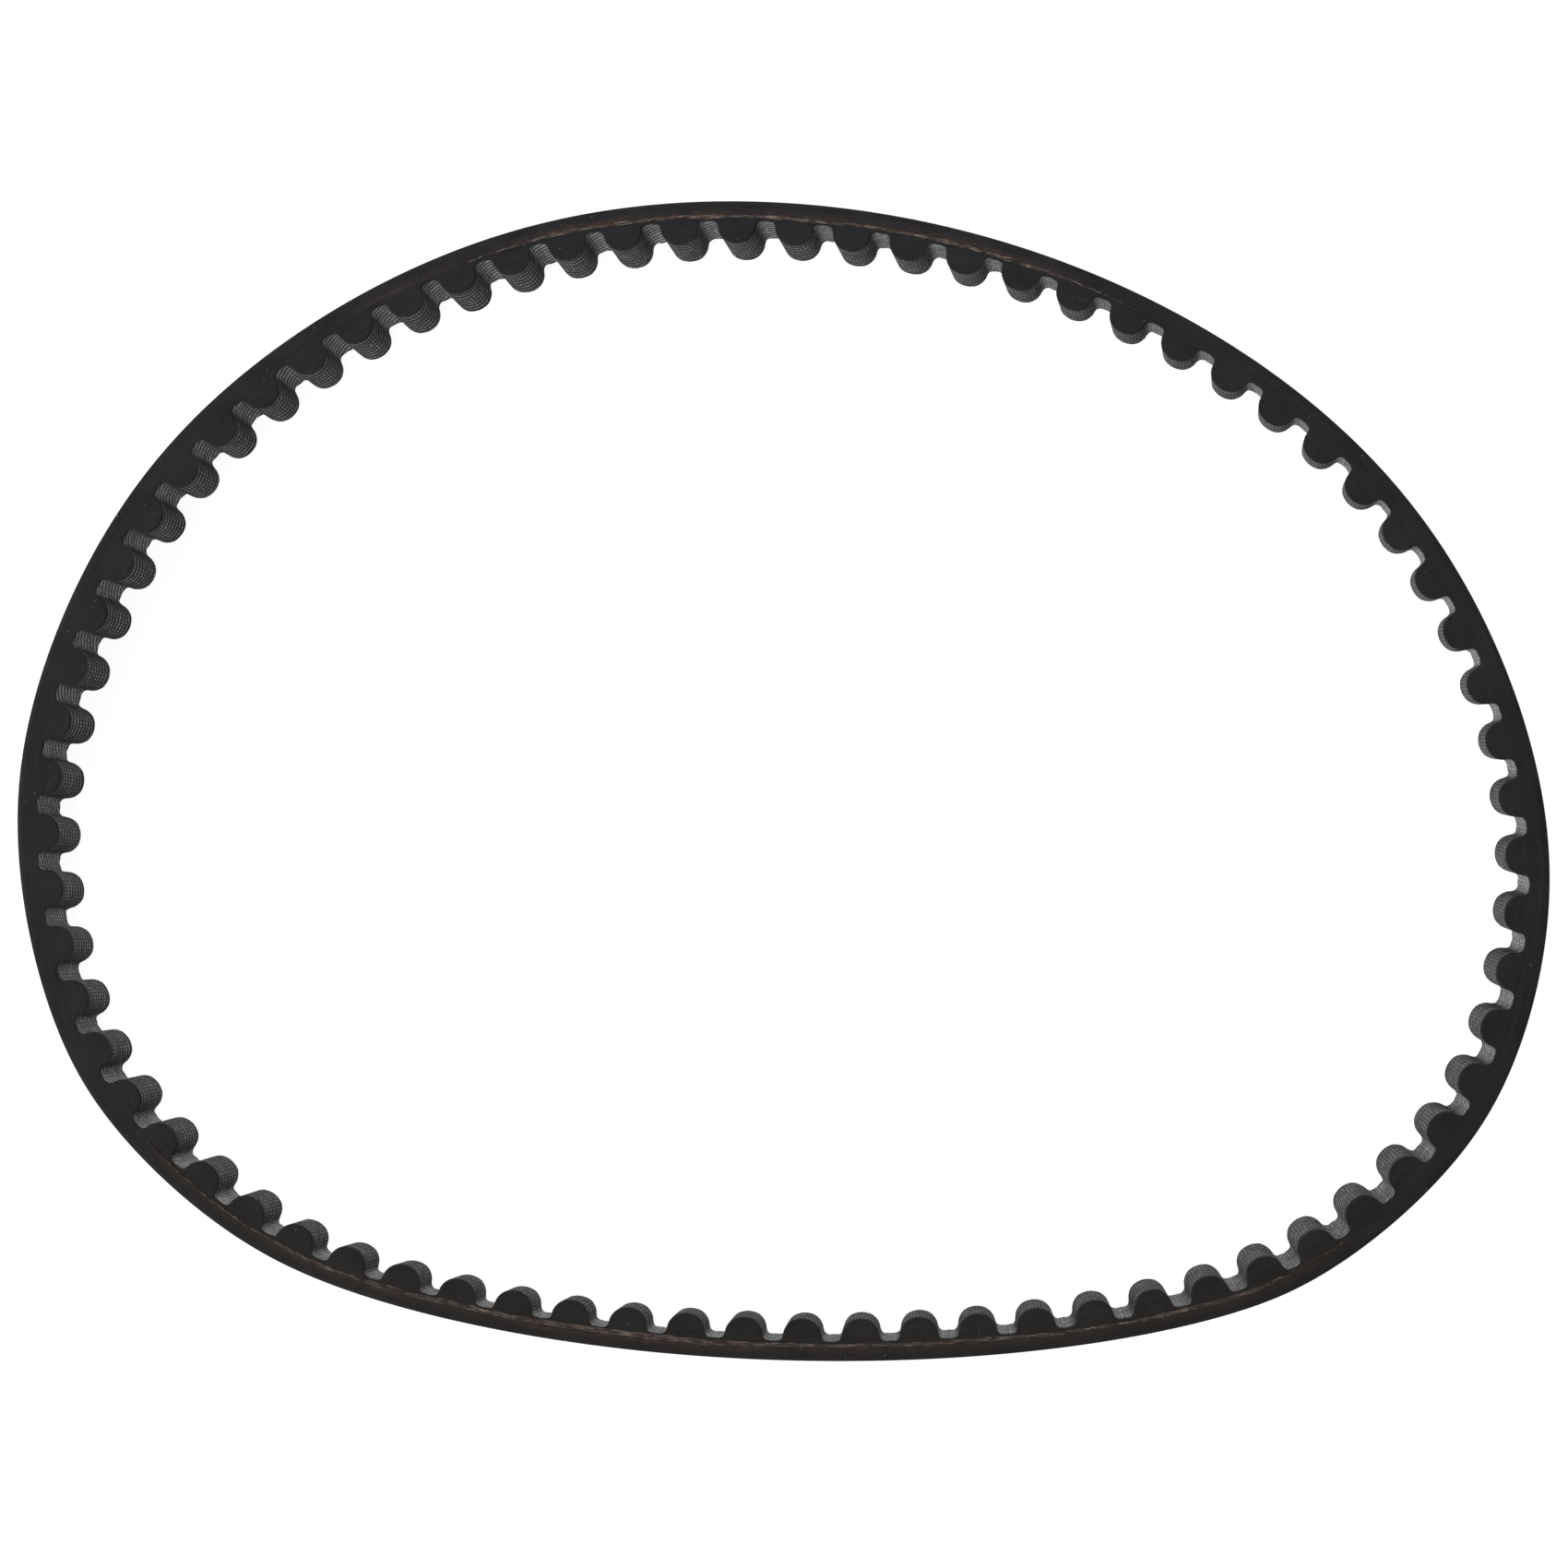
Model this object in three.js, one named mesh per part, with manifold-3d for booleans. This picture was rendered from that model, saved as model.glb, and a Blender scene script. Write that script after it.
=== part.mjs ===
// Endless round-tooth timing belt, 8 mm pitch, 72 teeth, 12 mm wide.
// It rests on one edge as a free loop: Z runs across the width, and z = 0 is the lower edge.
// Five bonded pieces: backing, tooth rubber, tooth facing fabric and two tensile cords.
import * as THREE from 'three';
import { mergeVertices } from 'three/addons/utils/BufferGeometryUtils.js';
import Module from 'manifold-3d';

const wasm = await Module();
wasm.setup();

// Driving dimensions, in mm. Heights are measured from the pitch line, the centre of the cords.
const PITCH = 8;
const TEETH = 72;
const WIDTH = 12;
const BACK_HEIGHT = 1.93;
const LAND_DEPTH = 0.686;
const TOOTH_HEIGHT = 3.1;
const TIP_RADIUS = 2.57;
const ROOT_RADIUS = 0.76;
const FLANK_ANGLE = THREE.MathUtils.degToRad(7);
const CORD_RADIUS = 0.45;
const CORD_SIDES = 6;
const CORD_LEAD = 3.2;
const CORD_EXIT_PITCH = 52;
const GROOVE_HALF_WIDTH = 0.5;
const FACING_ON_TOOTH = 0.2;
const FACING_ON_LAND = 0.1;
const BOND_GAP = 0.03;
const BACKING_INNER = -0.35;
const RUBBER_OUTER = -0.42;

// Free rest shape of the loop: waves of its support function, as [wave number, cosine, sine].
const LOOP_WAVES = [
  [2, 12.25, -1.67],
  [3, 0.09, -2.68],
  [4, -1.5, 0.27],
  [5, -0.02, 0.66],
  [6, 0.42, -0.12],
  [7, 0, -0.33],
  [8, -0.17, 0.03],
  [9, 0, 0.2],
  [10, 0.13, -0.03],
];
const FIRST_LAND = -0.66;
const MEAN_RADIUS = (PITCH * TEETH) / (2 * Math.PI);

// Distance from the centre to the tangent line whose normal points at an angle, and its slope.
function support(angle) {
  const waves = LOOP_WAVES.map(([k, c, s]) => c * Math.cos(k * angle) + s * Math.sin(k * angle));
  return waves.reduce((sum, wave) => sum + wave, MEAN_RADIUS);
}

function supportSlope(angle) {
  const slopes = LOOP_WAVES.map(([k, c, s]) => k * (s * Math.cos(k * angle) - c * Math.sin(k * angle)));
  return slopes.reduce((sum, slope) => sum + slope, 0);
}

// Length of the pitch line up to a normal's angle, and how fast it grows with the angle.
function arcLength(angle) {
  const waves = LOOP_WAVES.map(
    ([k, c, s]) => ((1 - k * k) / k) * (c * Math.sin(k * angle) - s * Math.cos(k * angle)),
  );
  return waves.reduce((sum, wave) => sum + wave, MEAN_RADIUS * angle);
}

function bendRadius(angle) {
  const waves = LOOP_WAVES.map(
    ([k, c, s]) => (1 - k * k) * (c * Math.cos(k * angle) + s * Math.sin(k * angle)),
  );
  return waves.reduce((sum, wave) => sum + wave, MEAN_RADIUS);
}

function angleAtLength(length) {
  let angle = length / MEAN_RADIUS;
  for (let step = 0; step < 20; step += 1) {
    angle -= (arcLength(angle) - length) / bendRadius(angle);
  }
  return angle;
}

// Middle of the loop's box, which becomes the origin.
const MIDDLE = new THREE.Vector2(
  (support(0) - support(Math.PI)) / 2,
  (support(Math.PI / 2) - support(-Math.PI / 2)) / 2,
);

// A point of the belt: pitches counts along the loop from a land, height is outwards.
function loopPoint(pitches, height) {
  const angle = angleAtLength(FIRST_LAND + pitches * PITCH);
  const outward = loopNormal(pitches);
  const along = new THREE.Vector2(-outward.y, outward.x);
  return outward
    .multiplyScalar(support(angle) + height)
    .addScaledVector(along, supportSlope(angle))
    .sub(MIDDLE);
}

function loopNormal(pitches) {
  const angle = angleAtLength(FIRST_LAND + pitches * PITCH);
  return new THREE.Vector2(Math.cos(angle), Math.sin(angle));
}

// A ring around the whole loop at one height, with a corner at each land and each tooth if fine.
function ringOutline(height, cornersPerPitch) {
  const corners = Array.from({ length: TEETH * cornersPerPitch }, (_, i) => i / cornersPerPitch);
  return corners.map((pitches) => loopPoint(pitches, height));
}

// One side of a tooth from its crown to the land, as [along, below the pitch line].
// The cover is how much thinner the tooth is on its sides and tip, and at the land.
function halfTooth(toothCover, landCover) {
  const tipMiddle = TOOTH_HEIGHT - TIP_RADIUS;
  const tip = TIP_RADIUS - toothCover;
  const root = ROOT_RADIUS + toothCover;
  const cos = Math.cos(FLANK_ANGLE);
  const sin = Math.sin(FLANK_ANGLE);
  const rootMiddle = ROOT_RADIUS + toothCover - landCover;
  const rootAlong = (tipMiddle * sin + tip + root - rootMiddle * sin) / cos;
  const shoulder = (Math.PI / 2 + FLANK_ANGLE) / 2;
  return [
    [0, tipMiddle + tip],
    [tip * Math.cos(shoulder), tipMiddle + tip * Math.sin(shoulder)],
    [tip * cos, tipMiddle + tip * sin],
    [rootAlong - root * cos, rootMiddle - root * sin],
    [rootAlong, rootMiddle - root],
  ].map(([along, depth]) => [along, depth + LAND_DEPTH]);
}

// The toothed inner outline: each tooth stands straight on the chord between two lands.
function toothedOutline(toothCover, landCover) {
  const half = halfTooth(toothCover, landCover);
  const mirrored = half.slice(1).map(([along, depth]) => [-along, depth]);
  const profile = [...mirrored.reverse(), ...half];
  const outline = [];
  for (let tooth = 0; tooth < TEETH; tooth += 1) {
    const start = loopPoint(tooth, 0);
    const end = loopPoint(tooth + 1, 0);
    const along = end.clone().sub(start).normalize();
    const inward = new THREE.Vector2(-along.y, along.x);
    const middle = start.add(end).multiplyScalar(1 / 2);
    for (const [distance, depth] of profile) {
      outline.push(middle.clone().addScaledVector(along, distance).addScaledVector(inward, depth));
    }
  }
  return outline;
}

// A straight band of the belt's full width between an outer and an inner outline.
function band(outer, inner) {
  const shape = new THREE.Shape(outer);
  shape.holes.push(new THREE.Path(inner));
  return new THREE.ExtrudeGeometry(shape, { depth: WIDTH, bevelEnabled: false });
}

// A cord's winding: it climbs by one lead in each turn and leaves the upper edge at exitPitch.
class Winding extends THREE.Curve {
  constructor(exitPitch) {
    super();
    const overrun = (2 * CORD_RADIUS * TEETH) / CORD_LEAD;
    this.exitPitch = exitPitch;
    this.firstPitch = Math.floor(exitPitch - (WIDTH * TEETH) / CORD_LEAD - overrun);
    this.steps = Math.ceil(exitPitch + overrun) - this.firstPitch;
  }

  getPoint(t) {
    const pitches = this.firstPitch + t * this.steps;
    const { x, y } = loopPoint(pitches, 0);
    return new THREE.Vector3(x, y, WIDTH + ((pitches - this.exitPitch) * CORD_LEAD) / TEETH);
  }

  getPointAt(t) {
    return this.getPoint(t);
  }

  // The section's first axis points out of the loop, and its second one down.
  computeFrenetFrames(steps) {
    const normals = [];
    for (let step = 0; step <= steps; step += 1) {
      const { x, y } = loopNormal(this.firstPitch + step);
      normals.push(new THREE.Vector3(x, y, 0));
    }
    const binormals = normals.map(() => new THREE.Vector3(0, 0, -1));
    const tangents = normals.map(({ x, y }) => new THREE.Vector3(-y, x, 0));
    return { tangents, normals, binormals };
  }
}

function alongWinding(section, winding) {
  return new THREE.ExtrudeGeometry(section, { steps: winding.steps, extrudePath: winding });
}

function cordSection() {
  const corners = Array.from({ length: CORD_SIDES }, (_, i) => ((i + 1 / 2) * 2 * Math.PI) / CORD_SIDES);
  return new THREE.Shape(
    corners.map((angle) => new THREE.Vector2(Math.cos(angle), Math.sin(angle)).multiplyScalar(CORD_RADIUS)),
  );
}

// A square groove that opens through the backing's inner face.
function grooveSection() {
  const top = GROOVE_HALF_WIDTH;
  const bottom = 2 * BACKING_INNER;
  return new THREE.Shape([
    new THREE.Vector2(bottom, -GROOVE_HALF_WIDTH),
    new THREE.Vector2(top, -GROOVE_HALF_WIDTH),
    new THREE.Vector2(top, GROOVE_HALF_WIDTH),
    new THREE.Vector2(bottom, GROOVE_HALF_WIDTH),
  ]);
}

function toSolid(geometry) {
  geometry.deleteAttribute('normal');
  geometry.deleteAttribute('uv');
  const merged = mergeVertices(geometry);
  return new wasm.Manifold(
    new wasm.Mesh({
      numProp: 3,
      vertProperties: merged.getAttribute('position').array,
      triVerts: new Uint32Array(merged.index.array),
    }),
  );
}

function toGeometry(solid) {
  const mesh = solid.getMesh();
  const geometry = new THREE.BufferGeometry();
  geometry.setAttribute('position', new THREE.BufferAttribute(mesh.vertProperties, 3));
  geometry.setIndex(new THREE.BufferAttribute(mesh.triVerts, 1));
  geometry.computeVertexNormals();
  return geometry;
}

// The belt is cut from a wider sleeve, so whatever crosses an edge is sliced off there.
function betweenTheEdges() {
  const room = 4 * MEAN_RADIUS;
  return toSolid(new THREE.BoxGeometry(room, room, WIDTH).translate(0, 0, WIDTH / 2));
}

function backing(windings) {
  const plain = toSolid(band(ringOutline(BACK_HEIGHT, 2), ringOutline(BACKING_INNER, 1)));
  const grooves = windings.map((winding) => toSolid(alongWinding(grooveSection(), winding)));
  return toGeometry(grooves.reduce((solid, groove) => solid.subtract(groove), plain));
}

function toothRubber() {
  const inner = toothedOutline(FACING_ON_TOOTH + BOND_GAP, FACING_ON_LAND + BOND_GAP);
  return band(ringOutline(RUBBER_OUTER, 1), inner);
}

function toothFacing() {
  return band(toothedOutline(FACING_ON_TOOTH, FACING_ON_LAND), toothedOutline(0, 0));
}

function tensileCord(winding) {
  return toGeometry(toSolid(alongWinding(cordSection(), winding)).intersect(betweenTheEdges()));
}

function piece(name, geometry, color, roughness) {
  const material = new THREE.MeshStandardMaterial({ color, roughness, metalness: 0 });
  const mesh = new THREE.Mesh(geometry, material);
  mesh.name = name;
  return mesh;
}

const sWinding = new Winding(CORD_EXIT_PITCH);
const zWinding = new Winding(CORD_EXIT_PITCH - TEETH / 2);

const belt = new THREE.Group();
belt.name = 'timing_belt';
belt.add(piece('backing', backing([sWinding, zWinding]), 0x29292b, 0.75));
belt.add(piece('tooth_rubber', toothRubber(), 0x242426, 0.75));
belt.add(piece('tooth_facing', toothFacing(), 0x5a5a5c, 0.9));
belt.add(piece('tensile_cord_s', tensileCord(sWinding), 0x5b4a42, 0.85));
belt.add(piece('tensile_cord_z', tensileCord(zWinding), 0x54463f, 0.85));

export default belt;
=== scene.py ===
"""Looks of the timing belt: fine rubber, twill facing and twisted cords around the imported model.

Shapes are worked out in millimetres in the belt's own terms: pitches along the loop, height out of
the pitch line, and across, from the lower edge up. Everything is turned into metres at the end.
"""

import math

import bpy
import numpy as np
from mathutils import Matrix, Vector


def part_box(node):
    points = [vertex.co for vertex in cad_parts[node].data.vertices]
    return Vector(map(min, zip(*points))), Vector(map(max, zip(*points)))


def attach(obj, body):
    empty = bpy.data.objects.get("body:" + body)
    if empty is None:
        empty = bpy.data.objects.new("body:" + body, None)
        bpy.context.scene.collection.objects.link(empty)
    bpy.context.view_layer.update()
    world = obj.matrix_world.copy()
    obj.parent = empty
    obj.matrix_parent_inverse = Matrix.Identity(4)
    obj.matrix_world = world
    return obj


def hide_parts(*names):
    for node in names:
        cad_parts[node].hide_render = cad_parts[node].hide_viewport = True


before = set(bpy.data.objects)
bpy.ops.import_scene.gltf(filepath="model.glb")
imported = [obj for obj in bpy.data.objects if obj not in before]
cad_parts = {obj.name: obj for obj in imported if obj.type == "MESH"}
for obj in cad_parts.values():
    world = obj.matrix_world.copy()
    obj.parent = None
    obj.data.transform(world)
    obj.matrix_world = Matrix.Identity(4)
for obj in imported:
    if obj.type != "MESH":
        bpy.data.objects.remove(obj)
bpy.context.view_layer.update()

MM = 0.001
WIDTH = (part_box("backing")[1].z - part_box("backing")[0].z) / MM

# The belt's section, as in the CAD model.
PITCH = 8.0
TEETH = 72
BACK_HEIGHT = 1.93
LAND_DEPTH = 0.686
TOOTH_HEIGHT = 3.1
TIP_RADIUS = 2.57
ROOT_RADIUS = 0.76
FLANK_ANGLE = math.radians(7)
CORD_RADIUS = 0.45
CORD_MIDDLE = -0.17
CORD_FLOOR = -0.57
CORD_LEAD = 3.2
CORD_EXIT_PITCH = 52
FACING_ON_TOOTH = 0.2
FACING_ON_LAND = 0.1

# The loop's free rest shape, and how far its upper edge leans out past its lower edge.
LOOP_WAVES = (
    (2, 12.25, -1.67),
    (3, 0.09, -2.68),
    (4, -1.5, 0.27),
    (5, -0.02, 0.66),
    (6, 0.42, -0.12),
    (7, 0, -0.33),
    (8, -0.17, 0.03),
    (9, 0, 0.2),
    (10, 0.13, -0.03),
)
LEAN_WAVES = (
    (2, -0.03, -0.67),
    (3, 0.03, -0.31),
    (4, -0.11, 0.09),
    (5, 0.07, 0.17),
    (6, 0.04, -0.13),
)
FIRST_LAND = -0.66
MEAN_RADIUS = PITCH * TEETH / math.tau

# Detail of the pieces.
EDGE_ROUND = 0.1
BACK_STEPS_PER_PITCH = 16
GROOVE_ROWS = 36
GROOVE_ROOM = 0.02
SKIN = 0.25
FACING_ROWS = 58
TIP_STEPS = 7
ROOT_STEPS = 3
RIB_PITCH = 1.4
RIB_HEIGHT = 0.11
CROWN_WEAR = 0.1
FRAYS = 90
RIB_SLANT_ON_LAND = 1.0
RIB_SLANT_ON_TOOTH = 0.06
THREAD_PITCH = 0.5
SHARP_ANGLE = math.radians(40)
SEED = 7

# Slow waves round the loop: how many, how high and where they start. The ribs' also lean across it.
CORD_WANDER = ((11, 0.06, 0.7), (23, 0.05, 2.1), (41, 0.04, 0.0))
RIB_SWAY = ((29, 0.12, 0.0, 0.5), (83, 0.09, 1.3, -0.3))

# The backing's upper edge: rows from the bond out, their texture places, and how far smears reach.
EDGE_ROWS = (0.15, 0.35, 0.6)
EDGE_ROW_UV = (1.2, 0.7, 0.3, 0.0)
SMEAR_ON_ROWS = (0.85, 0.3, 0.0)

# Where the two cut edges lie in the texture, clear of the moulded back.
UPPER_UV = 20
LOWER_UV = 40

# The fabric: how soon a rib straightens above the land, where it is worn, and how ragged its cut is.
ROOT_FADE = 0.9
CROWN_HALF_WIDTH = 1.2
FACING_TEAR = 0.1

# Loose thread ends: spread round the crown, and least and most of the rest.
FRAY_SPREAD = 1.1
FRAY_LENGTH = (0.3, 0.9)
FRAY_THICKNESS = (0.02, 0.035)
FRAY_LIFT = (0.0, 0.12)
FRAY_DROP = (0.0, 0.5)
FRAY_RISE = (-0.1, 0.2)

# The cords: corners, plies, length of one twist, rings per pitch, and depth between the plies.
CORD_SIDES = 14
PLIES = 3
LAY = 6.5
RINGS_PER_PITCH = 12
PLY_DEPTH = 0.16
CUT_ROUGHNESS = 0.07
SHOWING_GAIN = 6

# Cut strands on a bare cord, least and most. The offset is a share of the cord's radius.
STRAND_LENGTH = (0.9, 3.2)
STRAND_SLOPE = (0.02, 0.16)
STRAND_OFFSET = (-0.85, 0.85)
STRAND_THICKNESS = (0.03, 0.075)
STRAND_LIFT = (0.0, 0.06)
STRAND_UV_START = (0, 900)
STRAND_UV_TURN = (0.02, 0.06)

# How the rubber tears open over a cord: fades in pitches, least share, spread, and most.
FADE_IN = 3
FADE_OUT = 2
TEAR_LEAST = 0.62
TEAR_SPREAD = 0.3
TEAR_MOST = 1.1

# Where a cord lies open on the belt's upper edge: first and last pitch, how much of it shows, and
# how strongly its brown dip is smeared over the rubber beside it.
EXPOSURES = (
    (42.0, 47.0, 0.35, 0.5),
    (44.5, 55.0, 0.95, 0.7),
    (52.5, 64.5, 0.55, 0.6),
    (11.2, 23.4, 0.55, 1.0),
    (21.5, 26.8, 0.0, 0.7),
)

# Colours, in linear light.
RUBBER_DARK = (0.0085, 0.0088, 0.0108)
MOULDED_LIGHT = (0.019, 0.0193, 0.0218)
CUT_LIGHT = (0.0188, 0.0188, 0.0216)
DUST = (0.26, 0.26, 0.265)
# Painted warm light: a tint laid over the rubber on the loop's -y half.
WARM_LIGHT_TINT = (0.99, 0.86, 0.67)
SMEAR_BROWN = (0.048, 0.027, 0.021)
THREAD_ON_TOOTH = (0.22, 0.217, 0.215)
THREAD_ON_LAND = (0.385, 0.385, 0.385)
CLOTH_ON_TOOTH = (0.026, 0.0255, 0.0255)
CLOTH_ON_LAND = (0.052, 0.052, 0.053)
LINT = (0.34, 0.33, 0.32)
CUT_CLOTH = (0.012, 0.012, 0.012)
CORD_S_COLOURS = ((0.028, 0.018, 0.0145), (0.21, 0.172, 0.145))
CORD_Z_COLOURS = ((0.03, 0.019, 0.0155), (0.32, 0.27, 0.23))
STUDIO_GREY = (0.2, 0.2, 0.2)

# The studio, in metres: name, place, size, power and colour of each light.
SOFTBOXES = (
    ("softbox_left", (-3.1, 0.0, 1.3), 2.8, 138, (1, 0.99, 0.985)),
    ("softbox_back", (0.3, 1.25, 0.5), 0.8, 13, (1, 0.99, 0.98)),
    ("softbox_front", (-0.7, -1.2, 0.5), 0.8, 12, (0.985, 0.99, 1)),
)
FLOOR_SIZE = 24.0
FLOOR_DROP = 0.0002
FLOOR_GLOW = 0.94
BACKDROP_RADIUS = 10.0
BACKDROP_HEIGHT = 12.0
WORLD_LIGHT = 0.25

# The camera: place in millimetres, direction, sensor and lens.
CAMERA_PLACE = (39.15, -11.67, 483.26)
CAMERA_FORWARD = (-0.07893, 0.02358, -1)
SENSOR = 36
LENS = 79.71

rng = np.random.default_rng(SEED)


# ---- The loop ----


def wave_sum(angle, waves):
    return sum(c * np.cos(k * angle) + s * np.sin(k * angle) for k, c, s in waves)


def wave_slope(angle, waves):
    return sum(k * (s * np.cos(k * angle) - c * np.sin(k * angle)) for k, c, s in waves)


def waves_at(lean):
    """The loop's waves at a lean of -0.5, on the lower edge, to 0.5, on the upper edge."""
    leans = {k: (c, s) for k, c, s in LEAN_WAVES}
    return [
        (k, c + lean * leans.get(k, (0, 0))[0], s + lean * leans.get(k, (0, 0))[1]) for k, c, s in LOOP_WAVES
    ]


def angle_at(pitches, waves):
    """The direction of the loop's outward normal, by Newton's rule on the pitch line's length."""
    length = FIRST_LAND + pitches * PITCH
    angle = length / MEAN_RADIUS
    for _ in range(8):
        reached = MEAN_RADIUS * angle + sum(
            (1 - k * k) / k * (c * np.sin(k * angle) - s * np.cos(k * angle)) for k, c, s in waves
        )
        bend = MEAN_RADIUS + sum(
            (1 - k * k) * (c * np.cos(k * angle) + s * np.sin(k * angle)) for k, c, s in waves
        )
        angle = angle - (reached - length) / bend
    return angle


def box_middle():
    reach = [MEAN_RADIUS + wave_sum(quarter * math.pi / 2, LOOP_WAVES) for quarter in range(4)]
    return (reach[0] - reach[2]) / 2, (reach[1] - reach[3]) / 2


MIDDLE = box_middle()


def loop_point(pitches, height, across):
    """A point of the belt. Every level across the belt has the same length, so it can't stretch."""
    pitches, height, across = np.broadcast_arrays(pitches, height, across)
    waves = waves_at(across / WIDTH - 0.5)
    angle = angle_at(pitches, waves)
    out = MEAN_RADIUS + wave_sum(angle, waves) + height
    slope = wave_slope(angle, waves)
    x = out * np.cos(angle) - slope * np.sin(angle) - MIDDLE[0]
    y = out * np.sin(angle) + slope * np.cos(angle) - MIDDLE[1]
    return np.stack([x, y, across], -1)


def smoothstep(value):
    value = np.clip(value, 0, 1)
    return value * value * (3 - 2 * value)


# ---- Teeth ----


def root_place(cover, land_cover):
    """Where the root fillet's centre lies from the tooth's middle, and its height above the land."""
    tip_middle = TOOTH_HEIGHT - TIP_RADIUS
    height = ROOT_RADIUS + cover - land_cover
    reach = tip_middle * math.sin(FLANK_ANGLE) + TIP_RADIUS + ROOT_RADIUS
    return (reach - height * math.sin(FLANK_ANGLE)) / math.cos(FLANK_ANGLE), height


LAND_START = root_place(0, 0)[0]


def tooth_profile(cover=0.0, land_cover=0.0):
    """A pitch of the toothed surface: rows of [along, depth, normal along, normal depth]."""
    tip, root = TIP_RADIUS - cover, ROOT_RADIUS + cover
    tip_middle = TOOTH_HEIGHT - TIP_RADIUS
    root_along, root_height = root_place(cover, land_cover)
    side = math.pi / 2 - FLANK_ANGLE
    rows = []
    for turn in np.linspace(0, side, TIP_STEPS + 1)[:-1]:
        rows.append([tip * math.sin(turn), tip_middle + tip * math.cos(turn), math.sin(turn), math.cos(turn)])
    for turn in np.linspace(side, 0, ROOT_STEPS + 1):
        rows.append(
            [
                root_along - root * math.sin(turn),
                root_height - root * math.cos(turn),
                math.sin(turn),
                math.cos(turn),
            ]
        )
    rows.append([PITCH / 2, -land_cover, 0, 1])
    half = np.array(rows)
    other = half[:0:-1] * [-1, 1, -1, 1]
    profile = np.vstack([other, half])
    profile[:, 1] += LAND_DEPTH
    return profile


def tooth_point(tooth, along, depth, across):
    """A tooth stands straight on the chord between its two lands, and the lands bend with the loop."""
    start, end = loop_point(tooth, 0, across), loop_point(tooth + 1, 0, across)
    chord = end - start
    chord[..., 2] = 0
    chord /= np.linalg.norm(chord, axis=-1, keepdims=True)
    inward = np.stack([-chord[..., 1], chord[..., 0], 0 * chord[..., 0]], -1)
    straight = (start + end) / 2 + chord * along[..., None] + inward * depth[..., None]
    bent = loop_point(tooth + 0.5 + along / PITCH, -depth, across)
    share = smoothstep((np.abs(along) - LAND_START) / (PITCH / 2 - LAND_START))[..., None]
    return straight * (1 - share) + bent * share


BONDED_PROFILE = tooth_profile(FACING_ON_TOOTH, FACING_ON_LAND)[:-1]


# ---- Cord windings ----


def uneven(count):
    """Seeded random values along one turn of the loop, as a smooth function of the pitches."""
    values = rng.random(count)
    values[-1] = values[0]
    return lambda pitches: np.interp(np.asarray(pitches) % TEETH, np.linspace(0, TEETH, count), values)


COARSE_TEAR = uneven(TEETH * 2 + 1)
FINE_TEAR = uneven(TEETH * 7 + 1)


def cord_height(pitches):
    """The cords' centre line wanders a little in the rubber, close to the pitch line."""
    turn = np.asarray(pitches) * math.tau / TEETH
    wander = sum(size * np.sin(count * turn + start) for count, size, start in CORD_WANDER)
    return CORD_MIDDLE + wander


def exposed(pitches, column):
    """One of the exposures' values, faded out at both ends of each exposure."""
    turned = np.asarray(pitches) % TEETH
    share = 0
    for place in EXPOSURES:
        inside = smoothstep((turned - place[0]) / FADE_IN) * smoothstep((place[1] - turned) / FADE_OUT)
        share = share + place[column] * inside
    return share


def exposure(pitches):
    """How far the upper edge's rubber is torn open over the cord: 0 is closed, 1 shows all of it."""
    tear = TEAR_LEAST + TEAR_SPREAD * COARSE_TEAR(pitches) + TEAR_SPREAD * FINE_TEAR(pitches)
    return np.clip(exposed(pitches, 2) * tear, 0, TEAR_MOST)


def near_upper_edge(across):
    return np.clip((across - (WIDTH - SKIN)) / SKIN, 0, 1)


def groove_depth(pitches, across):
    """Half the height of the cord's groove at a place across the belt, 0 between the windings."""
    spacing = CORD_LEAD / 2
    centre = WIDTH + (pitches - CORD_EXIT_PITCH) * CORD_LEAD / TEETH
    beside = (across - centre + spacing / 2) % spacing - spacing / 2
    half = np.sqrt(np.maximum((CORD_RADIUS + GROOVE_ROOM) ** 2 - beside**2, 0))
    return half * (1 + near_upper_edge(across) * (exposure(pitches) - 1))


def bond_levels():
    """Levels across the belt for the bond, close together at the two edges."""
    inner = np.linspace(2 * SKIN, WIDTH - 2 * SKIN, GROOVE_ROWS - 3)
    return np.concatenate([[0, SKIN], inner, [WIDTH - SKIN, WIDTH]])[None, :]


# ---- Meshes ----


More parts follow.
